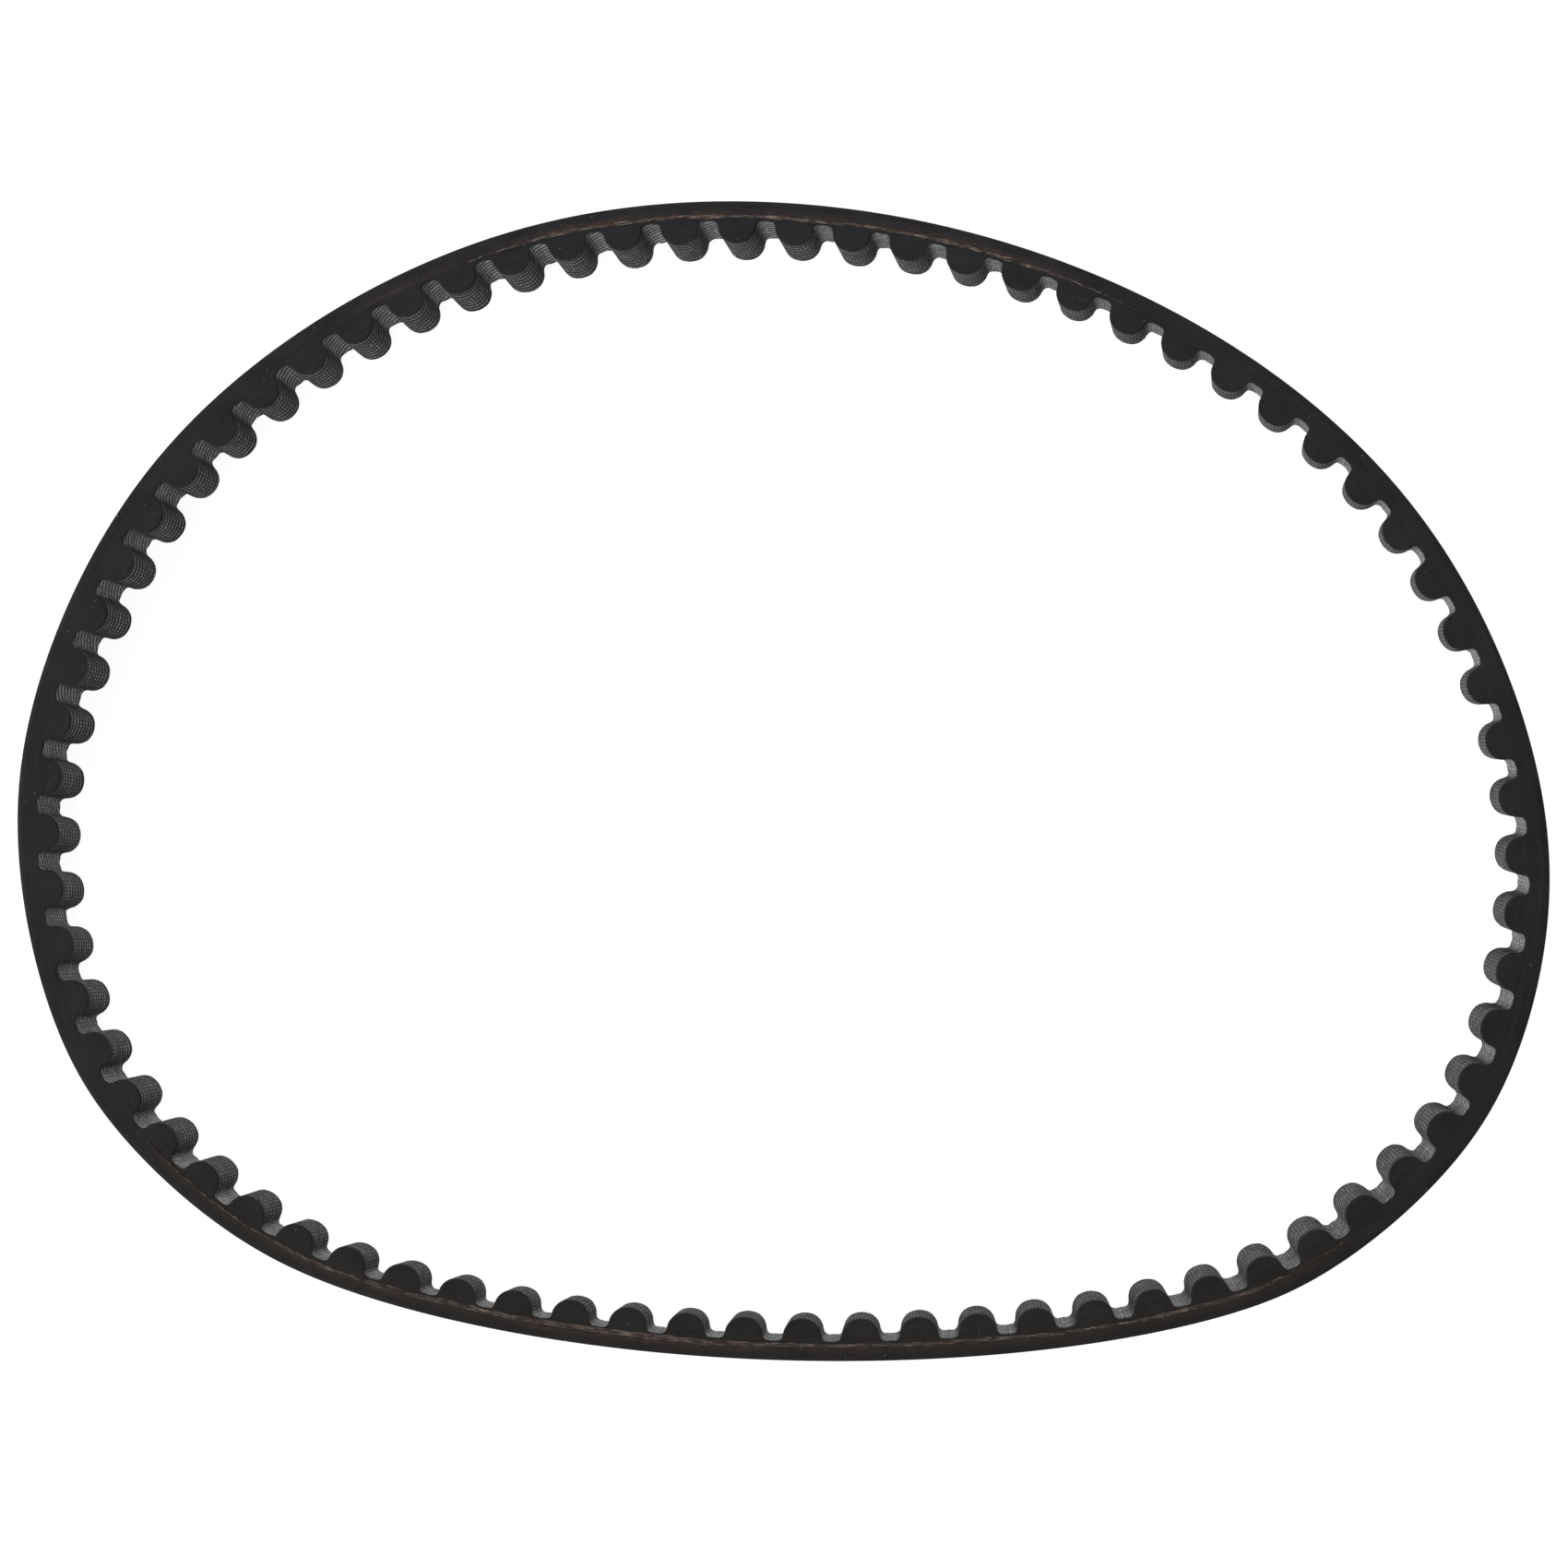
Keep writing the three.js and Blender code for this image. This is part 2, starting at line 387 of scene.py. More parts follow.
class Builder:
    """Collects grids and faces of points in millimetres, then makes one mesh object in metres."""

    def __init__(self):
        self.points = []
        self.faces = []
        self.uvs = []
        self.slots = []
        self.count = 0

    def add(self, points):
        """Adds points of any grid shape, and returns their numbers in the same shape."""
        flat = points.reshape(-1, 3)
        numbers = self.count + np.arange(len(flat)).reshape(points.shape[:-1])
        self.points.append(flat)
        self.count += len(flat)
        return numbers

    def sew(self, rows, uv_rows, slot=0):
        """Fills the quads of a grid of point numbers whose first way runs round the loop."""
        u, v = uv_rows
        corners = [(0, 0), (1, 0), (1, 1), (0, 1)]
        n, m = rows.shape[0] - 1, rows.shape[1] - 1
        quads = [rows[a : a + n, b : b + m] for a, b in corners]
        uv = [np.stack([u[a : a + n, b : b + m], v[a : a + n, b : b + m]], -1) for a, b in corners]
        self.faces.append(np.stack(quads, -1).reshape(-1, 4).tolist())
        self.uvs.append(np.stack(uv, -2).reshape(-1, 2))
        self.slots.append(np.full(n * m, slot))

    def fill(self, ring, uv, slot=0):
        """Fills one flat outline."""
        self.faces.append([list(ring)])
        self.uvs.append(np.asarray(uv).reshape(-1, 2))
        self.slots.append(np.array([slot]))

    def make(self, name, materials, attributes=()):
        mesh = bpy.data.meshes.new(name)
        faces = [face for group in self.faces for face in group]
        mesh.from_pydata((np.vstack(self.points) * MM).tolist(), [], faces)
        layer = mesh.uv_layers.new(name="belt")
        layer.data.foreach_set("uv", np.vstack(self.uvs).astype(np.float32).ravel())
        for material in materials:
            mesh.materials.append(material)
        mesh.polygons.foreach_set("material_index", np.concatenate(self.slots).astype(np.int32))
        for label, values in attributes:
            attribute = mesh.attributes.new(label, "FLOAT", "POINT")
            attribute.data.foreach_set("value", np.asarray(values, np.float32).ravel())
        mesh.shade_smooth()
        mesh.set_sharp_from_angle(angle=SHARP_ANGLE)
        mesh.validate()
        mesh.update()
        piece = bpy.data.objects.new(name, mesh)
        bpy.context.scene.collection.objects.link(piece)
        return piece


def closed(numbers):
    """The same grid of numbers with its first row again at the end, to close the loop."""
    return np.concatenate([numbers, numbers[:1]], 0)


def finish_piece(piece, node):
    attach(piece, "root")
    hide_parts(node)
    return piece


def grid_of(column, row):
    """Two values spread over a grid of columns and rows, for texture coordinates."""
    return np.broadcast_arrays(column, row)


def loop_columns():
    """Places round the loop in pitches, and in millimetres of texture with the first one again."""
    columns = TEETH * BACK_STEPS_PER_PITCH
    pitches = (np.arange(columns) / BACK_STEPS_PER_PITCH)[:, None]
    along = np.arange(columns + 1)[:, None] * PITCH / BACK_STEPS_PER_PITCH
    return pitches, along


def bonded_edges(builder):
    """The lower and the upper outline of the surface where rubber and fabric are bonded."""
    profile = BONDED_PROFILE[None, :, :]
    tooth = np.arange(TEETH)[:, None]
    return [
        builder.add(tooth_point(tooth, profile[..., 0], profile[..., 1], level)).ravel()
        for level in (0.0, WIDTH)
    ]


def make_backing(materials):
    builder = Builder()
    pitches, along = loop_columns()
    levels = bond_levels()
    bond_height = cord_height(pitches) + groove_depth(pitches, levels)
    bond = builder.add(loop_point(pitches, bond_height, levels))
    corner = EDGE_ROUND * (1 - math.cos(math.pi / 4))
    back_z = np.array([[0, corner, EDGE_ROUND, WIDTH / 2, WIDTH - EDGE_ROUND, WIDTH - corner, WIDTH]])
    drop = np.array([[EDGE_ROUND, corner, 0, 0, 0, corner, EDGE_ROUND]])
    back = builder.add(loop_point(pitches, BACK_HEIGHT - drop, back_z))
    builder.sew(closed(back), grid_of(along, back_z), 0)
    builder.sew(closed(bond)[:, ::-1], grid_of(along, levels[:, ::-1]), 1)

    shares = np.array([EDGE_ROWS])
    outer_height = BACK_HEIGHT - EDGE_ROUND
    edge_height = bond_height[:, -1:] * (1 - shares) + outer_height * shares
    between = builder.add(loop_point(pitches, edge_height, WIDTH))
    upper = closed(np.concatenate([back[:, -1:], between[:, ::-1], bond[:, -1:]], 1))
    rows = np.array([[outer_height, *EDGE_ROW_UV]])
    builder.sew(upper, grid_of(along, rows + UPPER_UV), 1)
    lower = closed(np.stack([bond[:, 0], back[:, 0]], 1))
    builder.sew(lower, grid_of(along, np.array([[LOWER_UV, LOWER_UV + outer_height]])), 1)

    stain = np.zeros(builder.count)
    torn = exposed(pitches, 3) * (0.5 + COARSE_TEAR(pitches))
    stain[bond[:, -1]] = torn[:, 0]
    stain[between] = torn * np.array([SMEAR_ON_ROWS])
    piece = builder.make("backing_rubber", materials, [("stain", stain)])
    return finish_piece(piece, "backing")


def fill_tooth_faces(builder, edges, bond, along):
    """One flat face for each pitch on both cut edges, from the bonded outline to the bond."""
    count, steps = len(BONDED_PROFILE), BACK_STEPS_PER_PITCH
    tooth_along = np.append(BONDED_PROFILE[:, 0], PITCH / 2)
    tooth_depth = np.append(BONDED_PROFILE[:, 1], BONDED_PROFILE[0, 1])
    for number in range(TEETH):
        inner = (number * count + np.arange(count + 1)) % (TEETH * count)
        outer = (number * steps + np.arange(steps + 1)) % len(bond)
        outer_along = along[number * steps : (number + 1) * steps + 1, 0]
        inner_uv = np.stack([(number + 0.5) * PITCH + tooth_along, UPPER_UV - tooth_depth], -1)
        outer_uv = np.stack([outer_along, np.full(steps + 1, UPPER_UV)], -1)
        uv = np.concatenate([inner_uv[::-1], outer_uv])
        upper = np.concatenate([edges[1][inner][::-1], bond[outer, -1]])
        builder.fill(upper[::-1], uv[::-1], 0)
        lower = np.concatenate([edges[0][inner][::-1], bond[outer, 0]])
        builder.fill(lower, uv + [0, LOWER_UV - UPPER_UV], 0)


def make_tooth_rubber(materials):
    builder = Builder()
    pitches, along = loop_columns()
    levels = bond_levels()
    bond_height = np.maximum(cord_height(pitches) - groove_depth(pitches, levels), CORD_FLOOR)
    bond = builder.add(loop_point(pitches, bond_height, levels))
    builder.sew(closed(bond), grid_of(along, levels), 0)

    edges = bonded_edges(builder)
    side = closed(np.stack(edges, 1))
    run = np.arange(len(side))[:, None] * PITCH / len(BONDED_PROFILE)
    builder.sew(side[:, ::-1], grid_of(run, np.array([[WIDTH, 0.0]])), 0)

    fill_tooth_faces(builder, edges, bond, along)
    return finish_piece(builder.make("tooth_rubber_ply", materials), "tooth_rubber")


# ---- Facing fabric ----


def profile_run(profile):
    steps = np.linalg.norm(np.diff(profile[:, :2], axis=0), axis=1)
    return np.concatenate([[0], np.cumsum(steps)])


FACING_RUN = profile_run(tooth_profile())
FACING_LENGTH = FACING_RUN[-1] * TEETH


def land_share(profile):
    """1 on the land and in the tooth's root, 0 on the tooth."""
    return 1 - smoothstep((profile[:, 1] - LAND_DEPTH) / ROOT_FADE)


def rib_shift(profile):
    """How far a rib has moved across the belt since the start of its pitch, which ends on a whole rib."""
    share = land_share(profile)
    slant = share * RIB_SLANT_ON_LAND + (1 - share) * RIB_SLANT_ON_TOOTH
    steps = (slant[1:] + slant[:-1]) / 2 * np.diff(FACING_RUN)
    shift = np.concatenate([[0], np.cumsum(steps)])
    whole = round(shift[-1] * TEETH / RIB_PITCH) * RIB_PITCH / TEETH
    return shift * whole / shift[-1]


def rib_sway(run, across):
    """How far a rib strays from its even place."""
    turn = run * math.tau / FACING_LENGTH
    return sum(
        size * np.sin(count * turn + start + lean * across) for count, size, start, lean in RIB_SWAY
    )


def add_frays(builder):
    """Loose thread ends on the upper cut edge, mostly on the teeth's crowns."""
    sides, rings = 3, 4
    turn = (np.arange(sides) / sides * math.tau)[None, :]
    for _ in range(FRAYS):
        tooth = rng.integers(TEETH)
        middle = rng.normal(0, FRAY_SPREAD)
        length = rng.uniform(*FRAY_LENGTH)
        thick = rng.uniform(*FRAY_THICKNESS)
        share = np.linspace(0, 1, rings)[:, None]
        along = middle + share * length + 0 * turn
        reach = np.sqrt(np.maximum(TIP_RADIUS**2 - along**2, 0))
        lift = rng.uniform(*FRAY_LIFT) * share
        depth = LAND_DEPTH + TOOTH_HEIGHT - TIP_RADIUS + reach + thick * np.cos(turn) + lift
        root = WIDTH - rng.uniform(*FRAY_DROP)
        across = root + rng.uniform(*FRAY_RISE) * share + thick * np.sin(turn)
        points = tooth_point(np.array(tooth), along, depth, across)
        add_tube(builder, points, np.full(rings, THREAD_PITCH / 2), 0.01)


def make_facing(materials):
    builder = Builder()
    front_profile = tooth_profile()
    count = len(front_profile) - 1
    shift = rib_shift(front_profile)
    tooth = np.repeat(np.arange(TEETH), count)[:, None]
    profile = np.tile(front_profile[:-1], (TEETH, 1))
    run = (np.arange(TEETH)[:, None] * FACING_RUN[-1] + FACING_RUN[None, :-1]).reshape(-1, 1)
    slanted = (np.arange(TEETH)[:, None] * shift[-1] + shift[None, :-1]).reshape(-1, 1)
    across = np.linspace(0, WIDTH, FACING_ROWS + 1)[None, :]

    sway = rib_sway(run, across)
    rib_place = across + slanted + sway
    crest = np.abs(np.sin(math.pi * rib_place / RIB_PITCH))
    worn = CROWN_WEAR * np.exp(-((profile[:, 0:1] / CROWN_HALF_WIDTH) ** 4))
    proud = RIB_HEIGHT * (crest - 0.5) - worn
    torn = FACING_TEAR * rng.random((len(run), 2))
    level = np.repeat(across, len(run), 0)
    level[:, 0] += torn[:, 0]
    level[:, -1] -= torn[:, 1] / 2
    along = profile[:, 0:1] + profile[:, 2:3] * proud
    depth = profile[:, 1:2] + profile[:, 3:4] * proud
    front = builder.add(tooth_point(tooth, along, depth, level))
    edges = bonded_edges(builder)

    length = np.append(run[:, 0], FACING_LENGTH)[:, None]
    loop_shift = slanted[-1:] + shift[-1] - shift[-2]
    rib_rows = np.concatenate([rib_place, across + loop_shift + sway[:1]])
    builder.sew(closed(front)[:, ::-1], grid_of(length, rib_rows[:, ::-1]), 0)
    bonded = closed(np.stack(edges, 1))
    builder.sew(bonded, grid_of(length, np.array([[0.0, WIDTH]])), 1)
    upper = closed(np.stack([edges[1], front[:, -1]], 1))
    lower = closed(np.stack([front[:, 0], edges[0]], 1))
    strip = grid_of(length, np.array([[WIDTH, WIDTH + FACING_ON_TOOTH]]))
    builder.sew(upper, strip, 1)
    builder.sew(lower, strip, 1)

    add_frays(builder)

    land = np.zeros(builder.count)
    land[front] = np.repeat(land_share(profile)[:, None], FACING_ROWS + 1, 1)
    piece = builder.make("facing_fabric", materials, [("land", land)])
    finish_piece(piece, "tooth_facing")
    return piece


# ---- Cords ----


def add_tube(builder, points, uv_run, uv_turn):
    """A closed tube of rings of points; its texture runs along it and round it."""
    sides = points.shape[1]
    rings = builder.add(points)
    u = np.repeat(uv_run[:, None], sides + 1, 1)
    v = np.repeat(np.linspace(0, uv_turn, sides + 1)[None, :], len(u), 0)
    builder.sew(np.concatenate([rings, rings[:, :1]], 1), (u, v), 0)
    builder.fill(rings[0], np.stack([u[0, :-1], v[0, :-1]], -1), 0)
    builder.fill(rings[-1][::-1], np.stack([u[-1, :-1], v[-1, :-1]], -1), 0)


def add_cord(builder, exit_pitch, twist):
    """A three-ply twisted cord wound from edge to edge, and sliced off at both edges."""
    overrun = (CORD_RADIUS + GROOVE_ROOM) * TEETH / CORD_LEAD
    first = exit_pitch - WIDTH * TEETH / CORD_LEAD - overrun
    pitches = np.arange(first, exit_pitch + overrun, 1 / RINGS_PER_PITCH)[:, None]
    turn = (np.arange(CORD_SIDES) / CORD_SIDES * math.tau)[None, :]
    run = pitches * PITCH
    lobes = np.abs(np.cos(PLIES / 2 * (turn - twist * run * math.tau / LAY / PLIES)))
    radius = CORD_RADIUS * (1 - PLY_DEPTH + PLY_DEPTH * lobes)
    centre = WIDTH + (pitches - exit_pitch) * CORD_LEAD / TEETH
    open_share = exposure(pitches)
    showing = smoothstep(open_share * SHOWING_GAIN)
    top = WIDTH - SKIN * (1 - showing) + CUT_ROUGHNESS * rng.random(radius.shape) * open_share
    across = np.clip(centre + radius * np.sin(turn), 0, top)
    squeeze = 1 + near_upper_edge(across) * (open_share - 1)
    height = np.maximum(cord_height(pitches) + radius * np.cos(turn) * squeeze, CORD_FLOOR)
    points = loop_point(np.broadcast_to(pitches, across.shape), height, across)
    add_tube(builder, points, run[:, 0], 1.0)


def add_strands(builder, first, last, count, twist):
    """Short cut bundles of fibre that lie along the sliced cord on the upper edge."""
    sides, rings = 4, 6
    turn = np.arange(sides) / sides * math.tau
    for _ in range(count):
        start = rng.uniform(first, last)
        share = float(exposure(start))
        length = rng.uniform(*STRAND_LENGTH)
        slope = twist * rng.uniform(*STRAND_SLOPE)
        offset = rng.uniform(*STRAND_OFFSET) * CORD_RADIUS * share
        thick = rng.uniform(*STRAND_THICKNESS)
        lift = rng.uniform(*STRAND_LIFT)
        run = np.linspace(-0.5, 0.5, rings)
        taper = np.sqrt(np.maximum(1 - (2 * run) ** 2, 0.08))
        pitches = start + run * length / PITCH
        limit = CORD_RADIUS * np.minimum(exposure(pitches) + 0.1, 1)
        middle = np.clip(offset + slope * run * length, -limit, limit) + cord_height(pitches)
        height = middle[:, None] + thick * taper[:, None] * np.cos(turn)[None, :]
        rise = lift * (1 - (2 * run) ** 2)
        across = WIDTH + rise[:, None] + thick * taper[:, None] * np.sin(turn)[None, :]
        points = loop_point(np.repeat(pitches[:, None], sides, 1), height, across)
        uv_run = run * length + rng.uniform(*STRAND_UV_START)
        add_tube(builder, points, uv_run, rng.uniform(*STRAND_UV_TURN))


def make_cord(names, exit_pitch, twist, frayed, strands, material):
    """One winding, and its cut strands between the first and last frayed pitch."""
    name, node, slot = names
    builder = Builder()
    add_cord(builder, exit_pitch, twist)
    add_strands(builder, *frayed, strands, twist)
    return finish_piece(builder.make(name, [material]), node)


# ---- Materials ----


def new_material(name, roughness, specular):
    material = bpy.data.materials.new(name)
    material.use_nodes = True
    tree = material.node_tree
    tree.nodes.clear()
    shader = tree.nodes.new("ShaderNodeBsdfPrincipled")
    shader.inputs["Roughness"].default_value = roughness
    shader.inputs["Specular IOR Level"].default_value = specular
    output = tree.nodes.new("ShaderNodeOutputMaterial")
    tree.links.new(shader.outputs["BSDF"], output.inputs["Surface"])
    return material, tree, shader


def noise(tree, vector, scale, detail=4.0, roughness=0.55):
    node = tree.nodes.new("ShaderNodeTexNoise")
    node.inputs["Scale"].default_value = scale
    node.inputs["Detail"].default_value = detail
    node.inputs["Roughness"].default_value = roughness
    tree.links.new(vector, node.inputs["Vector"])
    return node.outputs["Fac"]


def feed(tree, socket, value):
    """Gives a socket a colour, a number or another node's output."""
    if isinstance(value, tuple):
        socket.default_value = (*value, 1)
    elif isinstance(value, (int, float)):
        socket.default_value = value
    else:
        tree.links.new(value, socket)


def math_node(tree, operation, *values):
    node = tree.nodes.new("ShaderNodeMath")
    node.operation = operation
    for socket, value in zip(node.inputs, values):
        feed(tree, socket, value)
    return node.outputs[0]


def ramp(tree, value, low, high, start=0.0, end=1.0):
    node = tree.nodes.new("ShaderNodeMapRange")
    node.inputs["From Min"].default_value = low
    node.inputs["From Max"].default_value = high
    node.inputs["To Min"].default_value = start
    node.inputs["To Max"].default_value = end
    tree.links.new(value, node.inputs["Value"])
    return node.outputs["Result"]


def mix_value(tree, factor, first, second):
    node = tree.nodes.new("ShaderNodeMix")
    for number, value in ((0, factor), (2, first), (3, second)):
        feed(tree, node.inputs[number], value)
    return node.outputs[0]


def mix_colour(tree, factor, first, second, blend="MIX"):
    node = tree.nodes.new("ShaderNodeMix")
    node.data_type = "RGBA"
    node.blend_type = blend
    for number, value in ((0, factor), (6, first), (7, second)):
        feed(tree, node.inputs[number], value)
    return node.outputs[2]


def bump(tree, shader, height, strength, distance):
    node = tree.nodes.new("ShaderNodeBump")
    node.inputs["Strength"].default_value = strength
    node.inputs["Distance"].default_value = distance
    tree.links.new(height, node.inputs["Height"])
    tree.links.new(node.outputs["Normal"], shader.inputs["Normal"])


def texture_place(tree, scale=None):
    """The belt's own texture coordinates in millimetres, stretched where a scale is given."""
    uv = tree.nodes.new("ShaderNodeUVMap")
    uv.uv_map = "belt"
    if scale is None:
        return uv.outputs["UV"]
    stretch = tree.nodes.new("ShaderNodeMapping")
    stretch.inputs["Scale"].default_value = scale
    tree.links.new(uv.outputs["UV"], stretch.inputs["Vector"])
    return stretch.outputs["Vector"]


def attribute(tree, name):
    node = tree.nodes.new("ShaderNodeAttribute")
    node.attribute_name = name
    return node.outputs["Fac"]


def multiply(tree, first, second):
    return math_node(tree, "MULTIPLY", first, second)


def wave(tree, value, period):
    """A wave from 0 to 1 with a crest in the middle of each period."""
    return math_node(tree, "ABSOLUTE", math_node(tree, "SINE", multiply(tree, value, math.pi / period)))


def rubber_material(name, dark, light, grind):
    """Rubber: cloudy black with fine grain, grinding lines, dust specks, brown smears and painted warm light
    on the loop's -y half.
    """
    material, tree, shader = new_material(name, 0.72, 0.16)
    place = tree.nodes.new("ShaderNodeTexCoord").outputs["Object"]
    cloud = noise(tree, place, 170, 6, 0.62)
    streaks = noise(tree, texture_place(tree, (0.1, 1.5, 1)), 1, 3, 0.5)
    cloud = mix_value(tree, multiply(tree, streaks, 0.9), cloud, streaks)
    grain = noise(tree, place, 2600, 3)
    lines = noise(tree, texture_place(tree, (0.25, 7, 1)), 1, 4, 0.65)
    mottled = mix_colour(tree, ramp(tree, cloud, 0.34, 0.68), dark, light)
    # Painted warm light: the rubber on the loop's -y half is tinted browner, as a warm lamp would tint it.
    side = tree.nodes.new("ShaderNodeSeparateXYZ")
    tree.links.new(place, side.inputs[0])
    away_from_warm_light = ramp(tree, side.outputs[1], -0.05, 0.05)
    warm_lit = mix_colour(tree, 1, mottled, WARM_LIGHT_TINT, "MULTIPLY")
    mottled = mix_colour(tree, away_from_warm_light, warm_lit, mottled)
    blotches = noise(tree, texture_place(tree, (0.7, 2.2, 1)), 1, 4, 0.6)
    smear = multiply(tree, attribute(tree, "stain"), ramp(tree, blotches, 0.36, 0.6))
    mottled = mix_colour(tree, smear, mottled, SMEAR_BROWN)
    specks = noise(tree, place, 2100, 2, 0.5)
    patches = noise(tree, place, 140, 2)
    speck_mask = multiply(tree, ramp(tree, specks, 0.74, 0.79), ramp(tree, patches, 0.43, 0.55))
    colour = mix_colour(tree, speck_mask, mottled, DUST)
    tree.links.new(colour, shader.inputs["Base Color"])
    tree.links.new(ramp(tree, grain, 0.2, 0.8, 0.62, 0.85), shader.inputs["Roughness"])
    relief = math_node(tree, "ADD", grain, multiply(tree, lines, grind))
    bump(tree, shader, relief, 0.5, 0.00006)
    return material


def facing_material():
    """Twill: pale threads on the ribs' crests, broken into dashes where a tooth stretches the cloth."""
    material, tree, shader = new_material("facing_twill", 0.9, 0.06)
    split = tree.nodes.new("ShaderNodeSeparateXYZ")
    tree.links.new(texture_place(tree), split.inputs[0])
    run, rib_place = split.outputs[0], split.outputs[1]
    place = tree.nodes.new("ShaderNodeTexCoord").outputs["Object"]
    height = tree.nodes.new("ShaderNodeSeparateXYZ")
    tree.links.new(place, height.inputs[0])
    land = attribute(tree, "land")

    unsteady = multiply(tree, noise(tree, place, 420, 2), 0.25)
    rib_place = math_node(tree, "ADD", rib_place, unsteady)
    run = math_node(tree, "ADD", run, unsteady)
    rib = wave(tree, rib_place, RIB_PITCH)
    crest = mix_value(tree, land, ramp(tree, rib, 0.5, 1.0), ramp(tree, rib, 0.35, 0.95))
    dash = ramp(tree, wave(tree, run, THREAD_PITCH), 0.15, 0.85)
    dash_on_land = ramp(tree, dash, 0, 1, 0.55, 1)
    dash_on_tooth = ramp(tree, dash, 0, 1, 0.15, 1)
    thread = multiply(tree, crest, mix_value(tree, land, dash_on_tooth, dash_on_land))

    cell = tree.nodes.new("ShaderNodeCombineXYZ")
    for socket, value, period in ((0, run, THREAD_PITCH), (1, rib_place, RIB_PITCH)):
        number = math_node(tree, "FLOOR", multiply(tree, value, 1 / period))
        tree.links.new(number, cell.inputs[socket])
    each = tree.nodes.new("ShaderNodeTexWhiteNoise")
    each.noise_dimensions = "2D"
    tree.links.new(cell.outputs[0], each.inputs["Vector"])
    cloud = noise(tree, place, 300, 4, 0.6)
    worn = multiply(tree, thread, ramp(tree, cloud, 0.32, 0.68, 0.6, 1.15))
    worn = multiply(tree, worn, ramp(tree, each.outputs["Value"], 0, 1, 0.6, 1.25))
    top = ramp(tree, height.outputs[2], (WIDTH - 1.8) * MM, (WIDTH - 0.2) * MM, 1, 0.45)
    worn = multiply(tree, worn, mix_value(tree, land, top, 1))
    pale = mix_colour(tree, land, THREAD_ON_TOOTH, THREAD_ON_LAND)
    deep = mix_colour(tree, land, CLOTH_ON_TOOTH, CLOTH_ON_LAND)
    colour = mix_colour(tree, worn, deep, pale)
    lint = noise(tree, place, 1900, 2, 0.5)
    colour = mix_colour(tree, ramp(tree, lint, 0.7, 0.78), colour, LINT)
    middle = math_node(tree, "SUBTRACT", height.outputs[2], WIDTH * MM / 2)
    from_middle = math_node(tree, "ABSOLUTE", middle)
    ragged = math_node(tree, "ADD", from_middle, multiply(tree, noise(tree, place, 700, 2), 0.0009))
    edge = ramp(tree, ragged, (WIDTH / 2 - 0.35) * MM, (WIDTH / 2 + 0.3) * MM)
    colour = mix_colour(tree, edge, colour, CUT_CLOTH)
    tree.links.new(colour, shader.inputs["Base Color"])
    bump(tree, shader, thread, 0.6, 0.00008)
    return material


def cord_material(name, dark, light):
    """Dipped fibre: dark reddish brown, with pale strands where the dip is torn off."""
    material, tree, shader = new_material(name, 0.8, 0.2)
    strands = noise(tree, texture_place(tree, (0.45, 16, 1)), 1.0, 3, 0.6)
    patches = noise(tree, texture_place(tree, (0.5, 2, 1)), 1.0, 2, 0.5)
    torn = multiply(tree, ramp(tree, strands, 0.46, 0.64), ramp(tree, patches, 0.34, 0.58))
    colour = mix_colour(tree, torn, dark, light)
    tree.links.new(colour, shader.inputs["Base Color"])
    bump(tree, shader, strands, 0.7, 0.0001)
    return material


def studio_white(name, glow):
    material, _, shader = new_material(name, 0.9, 0.2)
    shader.inputs["Base Color"].default_value = (*STUDIO_GREY, 1)
    shader.inputs["Emission Color"].default_value = (1, 1, 1, 1)
    shader.inputs["Emission Strength"].default_value = glow
    return material


# ---- Studio ----


def make_floor():
    bpy.ops.mesh.primitive_plane_add(size=FLOOR_SIZE, location=(0, 0, -FLOOR_DROP))
    floor = bpy.context.object
    floor.name = "floor"
    floor.data.materials.append(studio_white("floor_white", FLOOR_GLOW))


def make_backdrop():
    """A white wall far behind the floor that is seen but sheds no light and throws no shadow."""
    bpy.ops.mesh.primitive_cylinder_add(
        vertices=64,
        radius=BACKDROP_RADIUS,
        depth=BACKDROP_HEIGHT,
        end_fill_type="NOTHING",
        location=(0, 0, BACKDROP_HEIGHT / 2),
    )
    backdrop = bpy.context.object
    backdrop.name = "backdrop"
    backdrop.data.materials.append(studio_white("backdrop_white", 1.0))
    backdrop.visible_diffuse = False
    backdrop.visible_glossy = False
    backdrop.visible_transmission = False
    backdrop.visible_shadow = False


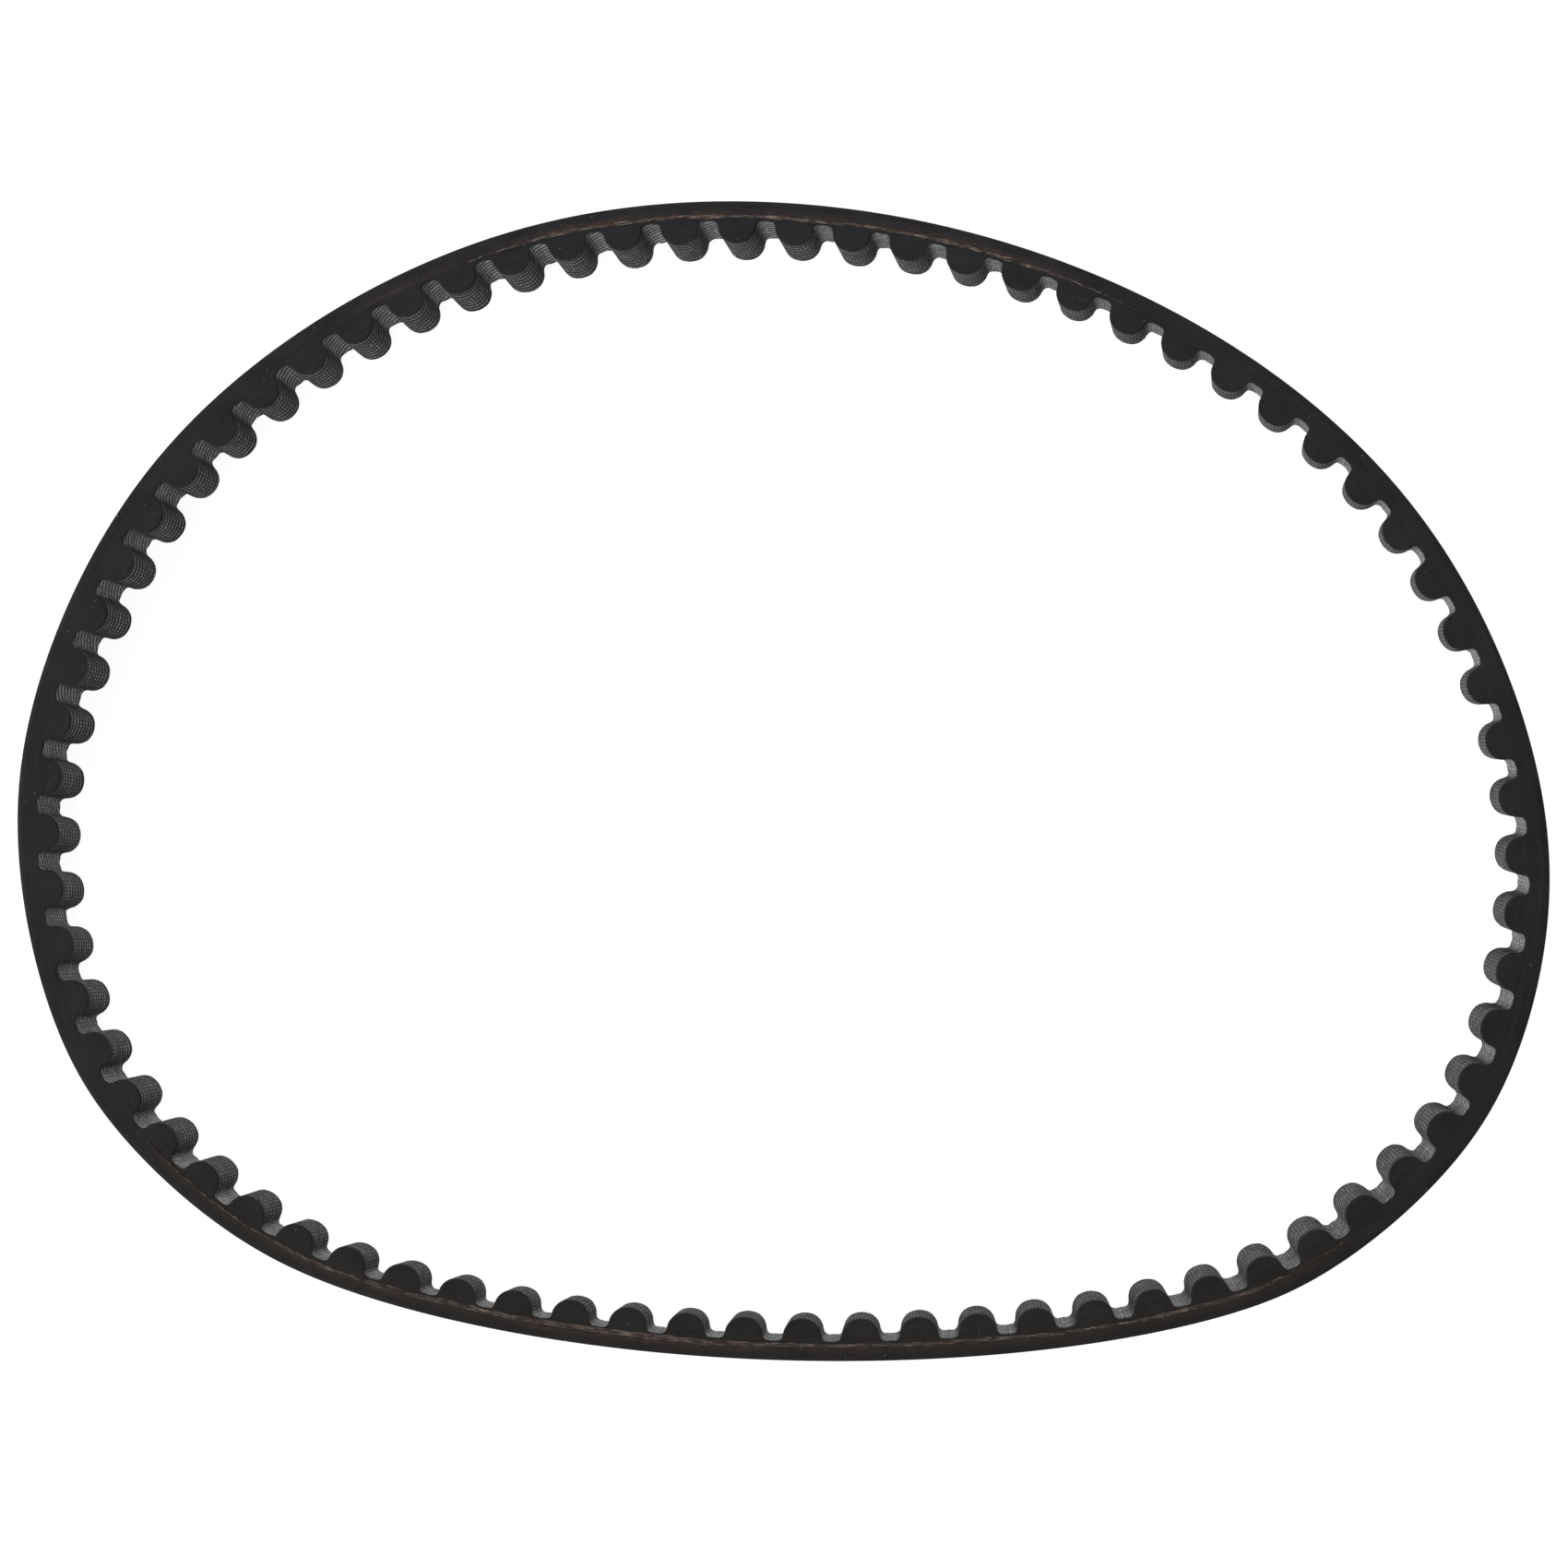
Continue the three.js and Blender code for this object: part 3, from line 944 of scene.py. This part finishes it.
def add_softbox(name, place, size, power, colour):
    data = bpy.data.lights.new(name, "AREA")
    data.shape = "SQUARE"
    data.size = size
    data.energy = power
    data.color = colour
    light = bpy.data.objects.new(name, data)
    light.location = place
    light.rotation_euler = (-Vector(place)).to_track_quat("-Z", "Y").to_euler()
    bpy.context.scene.collection.objects.link(light)


def make_light():
    world = bpy.data.worlds.new("studio")
    world.use_nodes = True
    background = world.node_tree.nodes["Background"]
    background.inputs["Color"].default_value = (1, 1, 1, 1)
    background.inputs["Strength"].default_value = WORLD_LIGHT
    bpy.context.scene.world = world
    for softbox in SOFTBOXES:
        add_softbox(*softbox)


def make_camera():
    data = bpy.data.cameras.new("camera")
    data.sensor_width = SENSOR
    data.lens = LENS
    data.clip_start = 0.01
    data.clip_end = 20
    camera = bpy.data.objects.new("camera", data)
    forward = Vector(CAMERA_FORWARD).normalized()
    right = forward.cross(Vector((0, 1, 0))).normalized()
    up = right.cross(forward)
    turn = Matrix((right, up, -forward)).transposed().to_4x4()
    camera.matrix_world = Matrix.Translation(Vector(CAMERA_PLACE) * MM) @ turn
    bpy.context.scene.collection.objects.link(camera)
    bpy.context.scene.camera = camera


def main():
    moulded = rubber_material("moulded_rubber", RUBBER_DARK, MOULDED_LIGHT, 0.5)
    cut = rubber_material("cut_rubber", RUBBER_DARK, CUT_LIGHT, 0.15)
    make_backing([moulded, cut])
    make_tooth_rubber([cut])
    make_facing([facing_material(), cut])
    brown = cord_material("dipped_cord_s", *CORD_S_COLOURS)
    pale = cord_material("dipped_cord_z", *CORD_Z_COLOURS)
    s_names = ("twisted_cord_s", "tensile_cord_s", "cord_s")
    z_names = ("twisted_cord_z", "tensile_cord_z", "cord_z")
    make_cord(s_names, CORD_EXIT_PITCH, 1, (42.5, 64.0), 190, brown)
    make_cord(z_names, CORD_EXIT_PITCH - TEETH / 2, -1, (11.5, 23.4), 130, pale)
    make_floor()
    make_backdrop()
    make_light()
    make_camera()
    bpy.context.scene.view_settings.view_transform = "Standard"


main()
